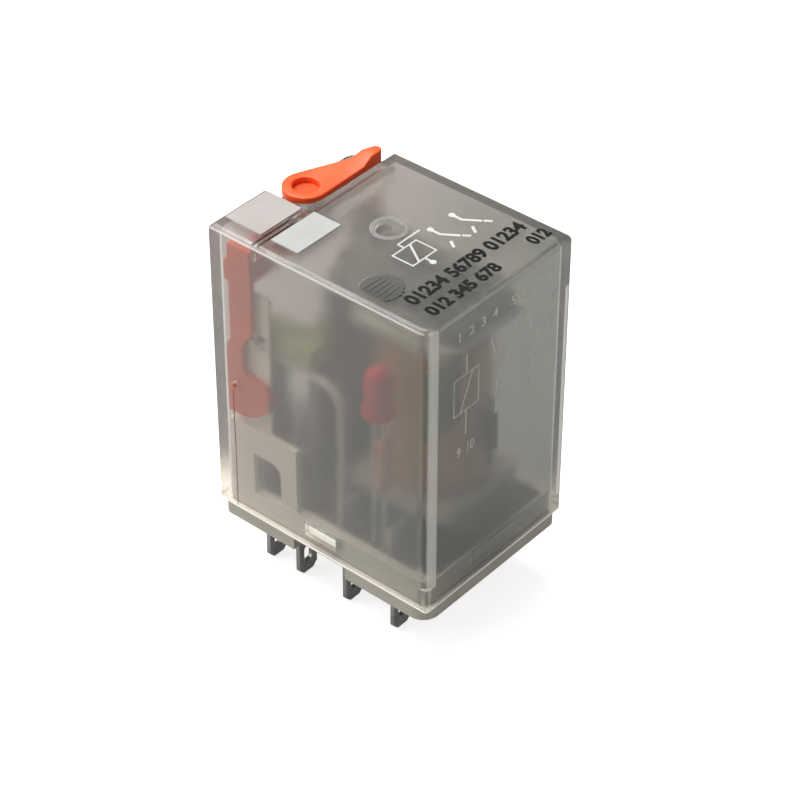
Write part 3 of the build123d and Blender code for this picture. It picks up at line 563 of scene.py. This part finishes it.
def addWinding():
    low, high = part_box("winding")
    middle = (low + high) / 2
    wireR = coilLook["wireR"]
    radius = (high.x - low.x) / 2 - wireR
    pitch = 2 * wireR * coilLook["closeness"]
    turns = int((high.z - low.z - 2 * wireR) / pitch)
    deselectAll()
    bpy.ops.mesh.primitive_circle_add(vertices=coilLook["profile"], radius=wireR, location=(radius, 0, 0),
                                      rotation=(math.radians(90), 0, 0))
    coil = bpy.context.object
    applyPlace(coil)
    wind = coil.modifiers.new("wind", "SCREW")
    wind.axis = "Z"
    wind.angle = math.radians(360)
    wind.screw_offset = pitch
    wind.iterations = turns
    wind.steps = coilLook["steps"]
    wind.render_steps = coilLook["steps"]
    wind.use_merge_vertices = False
    applyModifiers(coil)
    bpy.ops.object.mode_set(mode="EDIT")
    bpy.ops.mesh.select_all(action="SELECT")
    bpy.ops.mesh.normals_make_consistent(inside=False)
    bpy.ops.object.mode_set(mode="OBJECT")
    coil.location = (middle.x, middle.y, low.z + wireR)
    applyPlace(coil)
    smooth(coil, 60)
    finishPiece(coil, "coilWire", materials["wire"], "relay_body")
    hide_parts("winding")


addWinding()
print("winding ready")

# braided pigtails: three strands each, up from the blade and across to the spring
braidLook = {"strandR": 0.17 * mm, "half": 0.27 * mm, "lift": 0.12 * mm, "pitch": 2.1 * mm, "bend": 2.6 * mm,
             "ropeR": 0.45 * mm, "steps": 110}


def addPigtails():
    low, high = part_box("pigtails")
    ropeR, bend = braidLook["ropeR"], braidLook["bend"]
    startX, topZ, side = high.x - ropeR, high.z - ropeR, high.y - ropeR
    upright = topZ - bend - low.z
    arc = bend * math.pi / 2
    level = startX - bend - low.x
    length = upright + arc + level
    strands = []
    for y in (-side, side):
        for strand in range(3):
            points = []
            for step in range(braidLook["steps"] + 1):
                s = length * step / braidLook["steps"]
                turn = min(max(s - upright, 0) / bend, math.pi / 2)
                centre = Vector((startX - bend + bend * math.cos(turn), y, topZ - bend + bend * math.sin(turn)))
                centre.z += min(s, upright) - upright
                centre.x -= max(s - upright - arc, 0)
                outward = Vector((math.cos(turn), 0, math.sin(turn)))
                phase = 2 * math.pi * (s / braidLook["pitch"] + strand / 3)
                centre.y += braidLook["half"] * math.sin(phase)
                points.append(centre + braidLook["lift"] * math.sin(2 * phase) * outward)
            strands.append(addRoute(points, braidLook["strandR"]))
    braid = joinAll(strands)
    braid.name = "braids"
    smooth(braid, 60)
    braid.data.materials.clear()
    braid.data.materials.append(materials["braid"])
    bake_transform(braid)
    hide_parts("pigtails")


addPigtails()
print("pigtails ready")

# printing on the cover: generic figures and symbols only
inkLook = {
    "thick": 0.006 * mm, "weight": 0.1 * mm, "capShare": 0.7, "knotR": 0.34 * mm,
    "faintWeight": 0.02 * mm, "faintLine": 0.22 * mm,
}
turnOnTop = Matrix(((0, -1, 0), (1, 0, 0), (0, 0, 1))).to_4x4()
turnOnEnd = Matrix(((0, 0, 1), (1, 0, 0), (0, 1, 0))).to_4x4()


def placeInk(obj, turn, place):
    obj.matrix_world = Matrix.Translation(place) @ turn
    applyPlace(obj)
    return obj


def addWords(words, capHeight, width, weight):
    deselectAll()
    bpy.ops.object.text_add()
    obj = bpy.context.object
    obj.data.body = words
    obj.data.size = capHeight / inkLook["capShare"]
    obj.data.bevel_depth = weight
    obj.data.bevel_resolution = 0
    obj = toMesh(obj)
    obj.scale.x = width / obj.dimensions.x
    obj.scale.z = inkLook["thick"] / weight
    applyPlace(obj)
    return obj


def addLine(points, closed, width):
    line = addRoute([(x, y, 0) for x, y in points], width / 2, closed)
    line.scale.z = 2 * inkLook["thick"] / width
    applyPlace(line)
    return line


def dotPoints(x, y):
    radius = inkLook["knotR"]
    turns = [math.radians(350 * step / 28) for step in range(29)]
    return [(x + radius * math.cos(turn), y + radius * math.sin(turn)) for turn in turns]


def addFilled(points):  # a flat filled outline
    deselectAll()
    filled = addRoute([(x, y, 0) for x, y in points])
    makeActive(filled)
    bpy.ops.object.mode_set(mode="EDIT")
    bpy.ops.mesh.select_all(action="SELECT")
    bpy.ops.mesh.edge_face_add()
    bpy.ops.mesh.extrude_region_move(TRANSFORM_OT_translate={"value": (0, 0, inkLook["thick"])})
    bpy.ops.mesh.select_all(action="SELECT")
    bpy.ops.mesh.normals_make_consistent(inside=False)
    bpy.ops.object.mode_set(mode="OBJECT")
    return filled


blackLines = (  # figures, left end (y), baseline (x), cap height, length, in mm
    ("01234 56789 01234", -7.85, 9.72, 1.5, 16.6),
    ("012 345 678", -7.9, 12.1, 1.38, 10.0),
    ("012", 6.9, 12.1, 1.38, 2.6),
)
whiteOutlines = (  # along y, across, and the line's width: a coil, a diode and two changeover contacts
    (((-3.2, -3.1), (0.2, -3.1), (0.2, -5.6), (-3.2, -5.6)), True, 0.26),
    (((-2.3, -5.6), (-0.7, -3.1)), False, 0.26),
    (((-1.5, -3.1), (-1.5, -2.3), (1.7, -2.3)), False, 0.26),
    (((-1.5, -5.6), (-1.5, -6.6)), False, 0.26),
    (((2.4, -3.0), (2.4, -4.2), (3.5, -5.8)), False, 0.36),
    (((1.6, -6.6), (2.2, -5.7)), False, 0.36),
    (((4.1, -6.6), (3.6, -5.9)), False, 0.36),
    (((5.6, -3.0), (5.6, -4.2), (6.7, -5.8)), False, 0.36),
    (((4.8, -6.6), (5.4, -5.7)), False, 0.36),
    (((7.3, -6.6), (6.8, -5.9)), False, 0.36),
)
knots = ((2.4, -3.0), (5.6, -3.0), (-1.5, -6.6))  # round dots at the ends of lines
faintOutlines = (  # along y, up z: the same diagram again, larger
    (((-6.9, 24.0), (-3.3, 24.0), (-3.3, 28.2), (-6.9, 28.2)), True),
    (((-6.0, 24.0), (-4.2, 28.2)), False),
    (((-5.1, 28.2), (-5.1, 30.4)), False),
    (((-5.1, 24.0), (-5.1, 21.0)), False),
    (((-0.6, 21.0), (-0.6, 24.6), (1.6, 27.6)), False),
    (((-1.6, 30.2), (-0.7, 27.7)), False),
    (((2.6, 30.2), (1.8, 28.2)), False),
    (((4.8, 21.0), (4.8, 24.6), (7.0, 27.6)), False),
    (((3.8, 30.2), (4.7, 27.7)), False),
    (((8.0, 30.2), (7.2, 28.2)), False),
)
faintLines = (  # figures, left end (y), height (z), cap height, length, in mm
    ("1  2  3  4    5  6  7  8", -6.6, 32.4, 1.0, 13.5),
    ("9  10", -6.4, 18.8, 1.1, 2.6),
)


def addPrinting():
    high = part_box("cover")[1]
    black = []
    for words, left, base, tall, length in blackLines:
        text = addWords(words, tall * mm, length * mm, inkLook["weight"])
        black.append(placeInk(text, turnOnTop, Vector((base * mm, left * mm, high.z))))
    finishPiece(joinAll(black), "blackFigures", materials["blackInk"], "relay_body")
    white = [addLine([(x * mm, y * mm) for x, y in points], closed, width * mm)
             for points, closed, width in whiteOutlines]
    white += [addFilled(dotPoints(x * mm, y * mm)) for x, y in knots]
    signs = placeInk(joinAll(white), turnOnTop, Vector((0, 0, high.z)))
    finishPiece(signs, "paleSigns", materials["whiteInk"], "relay_body")
    faint = [addLine([(x * mm, y * mm) for x, y in points], closed, inkLook["faintLine"])
             for points, closed in faintOutlines]
    for words, left, base, tall, length in faintLines:
        figures = addWords(words, tall * mm, length * mm, inkLook["faintWeight"])
        figures.location = (left * mm, base * mm, 0)
        applyPlace(figures)
        faint.append(figures)
    marks = placeInk(joinAll(faint), turnOnEnd, Vector((high.x, 0, 0)))
    finishPiece(marks, "faintSigns", materials["faintInk"], "relay_body")


addPrinting()
print("printing ready")

# small things on the cover: lens insert, gate ring, bead in the vent
lensLook = {
    "radius": 2.12 * mm, "flat": 1.42 * mm, "thick": 0.13 * mm, "teeth": 15, "toothIn": 0.22 * mm,
    "ridges": (-1.2 * mm, -0.6 * mm, 0.0, 0.6 * mm, 1.2 * mm), "ridgeR": 0.06 * mm,
    "ridgeGap": 0.2 * mm, "ridgeEnd": 1.2 * mm, "fan": 0.9,
}
ringLook = {"inner": 1.45 * mm, "outer": 1.95 * mm, "rise": 0.07 * mm}
beadLook = {
    "radius": 0.34 * mm, "flare": 1.3, "proud": 0.16 * mm,
    "threadR": 0.045 * mm, "threadFoot": 0.3 * mm, "threadLean": 0.05 * mm, "threadSag": 0.06 * mm,
}


def addOutlineSolid(points, thick):
    solid = addFilled(points)
    solid.scale.z = thick / inkLook["thick"]
    applyPlace(solid)
    return solid


# the lens's dark colour is painted shade of the dim inside under a clear window
def addLens():
    half = math.degrees(math.asin(lensLook["flat"] / lensLook["radius"]))
    points = []
    for step in range(2 * lensLook["teeth"] + 1):
        turn = math.radians(-half + (180 + 2 * half) * step / (2 * lensLook["teeth"]))
        radius = lensLook["radius"] - (lensLook["toothIn"] if step % 2 else 0)
        points.append((radius * math.cos(turn), radius * math.sin(turn)))
    plate = addOutlineSolid(points, lensLook["thick"])
    near, far, top = lensLook["ridgeGap"] - lensLook["flat"], lensLook["ridgeEnd"], lensLook["thick"]
    ridges = [addRoute([(x, near, top), (x * lensLook["fan"], far, top)], lensLook["ridgeR"])
              for x in lensLook["ridges"]]
    lens = joinAll([plate] + ridges)
    lens.location = lensPlace
    applyPlace(lens)
    finishPiece(lens, "lens", materials["lensPaintedShade"], "relay_body")


def addGateRing():
    deselectAll()
    bpy.ops.mesh.primitive_circle_add(vertices=64, radius=ringLook["outer"], fill_type="NGON")
    ring = bpy.context.object
    bpy.ops.object.mode_set(mode="EDIT")
    bpy.ops.mesh.select_all(action="SELECT")
    bpy.ops.mesh.inset(thickness=ringLook["outer"] - ringLook["inner"])
    bpy.ops.mesh.delete(type="FACE")
    bpy.ops.mesh.select_all(action="SELECT")
    bpy.ops.mesh.extrude_region_move(TRANSFORM_OT_translate={"value": (0, 0, ringLook["rise"])})
    bpy.ops.mesh.select_all(action="SELECT")
    bpy.ops.mesh.normals_make_consistent(inside=False)
    bpy.ops.object.mode_set(mode="OBJECT")
    bevelEdges(ring, ringLook["rise"] * 0.45, 2, 40)
    ring.location = (0, 0, coverHigh.z)
    applyPlace(ring)
    smooth(ring, 40)
    finishPiece(ring, "gateRing", materials["paleRim"], "relay_body")


def addBead():
    deselectAll()
    bpy.ops.mesh.primitive_uv_sphere_add(segments=24, ring_count=14, radius=beadLook["radius"])
    bead = bpy.context.object
    bpy.ops.object.mode_set(mode="EDIT")
    bpy.ops.mesh.select_all(action="SELECT")
    bpy.ops.mesh.bisect(plane_co=(0, 0, 0), plane_no=(0, 0, 1), clear_inner=True)
    bpy.ops.mesh.extrude_region_move()
    bpy.ops.transform.resize(value=(beadLook["flare"], beadLook["flare"], 1))
    bpy.ops.mesh.select_all(action="SELECT")
    bpy.ops.mesh.normals_make_consistent(inside=False)
    bpy.ops.object.mode_set(mode="OBJECT")
    bead.scale.z = beadLook["proud"] / beadLook["radius"]
    bead.rotation_euler.x = math.radians(90)
    bead.location = ventPlace
    applyPlace(bead)
    foot = Vector((ventPlace.x + beadLook["threadLean"], ventPlace.y, coverLow.z + beadLook["threadFoot"]))
    halfway = (ventPlace + foot) / 2 + Vector((beadLook["threadSag"], 0, 0))
    thread = addRoute([ventPlace, halfway, foot], beadLook["threadR"])
    smooth(bead, 50)
    smooth(thread, 50)
    finishPiece(bead, "ventBead", materials["copper"], "relay_body")
    finishPiece(thread, "ventThread", materials["thread"], "relay_body")


coverLow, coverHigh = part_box("cover")
lensPlace = Vector((5.7 * mm, -7.7 * mm, coverHigh.z - 0.14 * mm))
ventPlace = Vector((coverLow.x + 2.55 * mm, -10.62 * mm, 17.4 * mm))
addLens()
addGateRing()
addBead()
print("cover details ready")

# floor, light and camera
studio = {
    "floorDrop": 0.02 * mm,
    "floorSize": 6.0,
    "floorColour": (0.5, 0.5, 0.5, 1),
    "floorGlow": 0.78,
    "floorSoftGlow": 0.2,
    "worldColour": (1.0, 1.0, 1.0, 1),
    "worldStrength": 0.36,
}


def addStudio():
    deselectAll()
    bpy.ops.mesh.primitive_plane_add(size=studio["floorSize"], location=(0, 0, cadBox[0][2] - studio["floorDrop"]))
    floor = bpy.context.object
    floor.name = "floor"
    material, tree, shader = newMaterial("paleFloor")
    shader.inputs["Base Color"].default_value = studio["floorColour"]
    shader.inputs["Roughness"].default_value = 0.9
    shader.inputs["Specular IOR Level"].default_value = 0.1
    shader.inputs["Emission Color"].default_value = (1, 1, 1, 1)
    lightPath = tree.nodes.new("ShaderNodeLightPath")  # glows mostly to the camera, less on the object
    glow = mapRange(tree, lightPath.outputs["Is Camera Ray"], 0.0, 1.0, studio["floorSoftGlow"],
                    studio["floorGlow"])
    tree.links.new(glow, shader.inputs["Emission Strength"])
    floor.data.materials.append(material)
    world = bpy.data.worlds.new("softStudio")
    world.use_nodes = True
    world.node_tree.nodes["Background"].inputs["Color"].default_value = studio["worldColour"]
    world.node_tree.nodes["Background"].inputs["Strength"].default_value = studio["worldStrength"]
    bpy.context.scene.world = world
    bpy.context.scene.view_settings.view_transform = "Standard"


lamps = {  # place and aim in metres, size, watts
    "topLight": ((-0.20, -0.04, 0.47), (0, 0, 0.02), 0.45, 4.6),
    "leftLight": ((-0.42, -0.40, 0.22), (0, 0, 0.015), 0.35, 1.4),
}


def addLights():
    for name, (place, aim, size, watts) in lamps.items():
        light = bpy.data.lights.new(name, "AREA")
        light.shape = "SQUARE"
        light.size = size
        light.energy = watts
        obj = bpy.data.objects.new(name, light)
        obj.location = place
        obj.rotation_euler = (Vector(place) - Vector(aim)).to_track_quat("Z", "Y").to_euler()
        bpy.context.scene.collection.objects.link(obj)


cameraView = {
    "azimuth": 40.36, "elevation": 38.14, "roll": 0.13,  # degrees
    "distance": 273.7 * mm, "lens": 125.55,
    "across": 1.01 * mm, "down": -2.92 * mm,
}


def addCamera():
    azimuth = math.radians(cameraView["azimuth"])
    elevation = math.radians(cameraView["elevation"])
    back = Vector((math.sin(azimuth) * math.cos(elevation), -math.cos(azimuth) * math.cos(elevation),
                   math.sin(elevation)))
    right = Vector((0, 0, 1)).cross(back).normalized()
    upward = back.cross(right)
    roll = math.radians(cameraView["roll"])
    across = math.cos(roll) * right + math.sin(roll) * upward
    upright = -math.sin(roll) * right + math.cos(roll) * upward
    aim = Vector((0, 0, (coverLow.z + coverHigh.z) / 2))
    place = aim + cameraView["across"] * across + cameraView["down"] * upright + cameraView["distance"] * back
    camera = bpy.data.cameras.new("camera")
    camera.lens = cameraView["lens"]
    camera.sensor_width = 36.0
    camera.clip_start = 0.01
    obj = bpy.data.objects.new("camera", camera)
    turn = Matrix((across, upright, back)).transposed()
    obj.matrix_world = Matrix.Translation(place) @ turn.to_4x4()
    bpy.context.scene.collection.objects.link(obj)
    bpy.context.scene.camera = obj


addStudio()
addLights()
addCamera()
print("studio ready")
